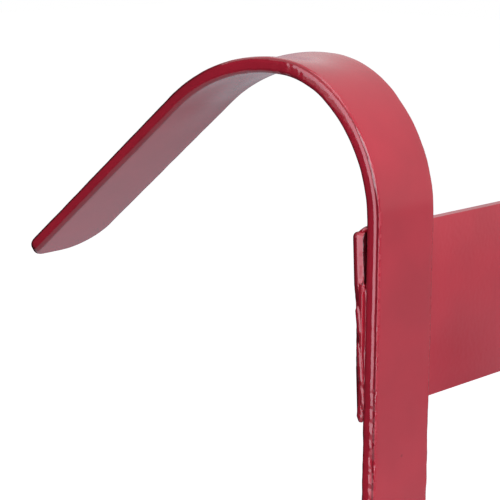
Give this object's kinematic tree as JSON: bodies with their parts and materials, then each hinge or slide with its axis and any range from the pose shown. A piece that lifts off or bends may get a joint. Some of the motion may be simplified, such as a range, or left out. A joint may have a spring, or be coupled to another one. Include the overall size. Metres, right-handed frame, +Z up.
{
  "type": "tack hook rack",
  "caption": "Red painted flat-bar tack rack: bent straps hook over a rail or stall wall, carry a welded crossbar and end in upturned hooks for bridles and halters.",
  "frame": {"origin": "middle of the crossbar's back face", "axes": "+X along the crossbar, +Y out of its back towards the rail or wall, +Z up"},
  "size_m": [0.4588, 0.2174, 0.1742],
  "materials": {
    "red_paint": "glossy red paint over steel, thin on the rolled edges"
  },
  "bodies": {
    "root": {"crossbar": "red_paint", "left_end_weld": "red_paint", "left_hanger": "red_paint", "left_hanger_weld": "red_paint", "left_hook_inner_weld": "red_paint", "left_hook_outer_weld": "red_paint", "left_inner_hook": "red_paint", "right_end_weld": "red_paint", "right_hanger": "red_paint", "right_hanger_weld": "red_paint", "right_hook_inner_weld": "red_paint", "right_hook_outer_weld": "red_paint", "right_inner_hook": "red_paint"}
  },
  "joints": []
}
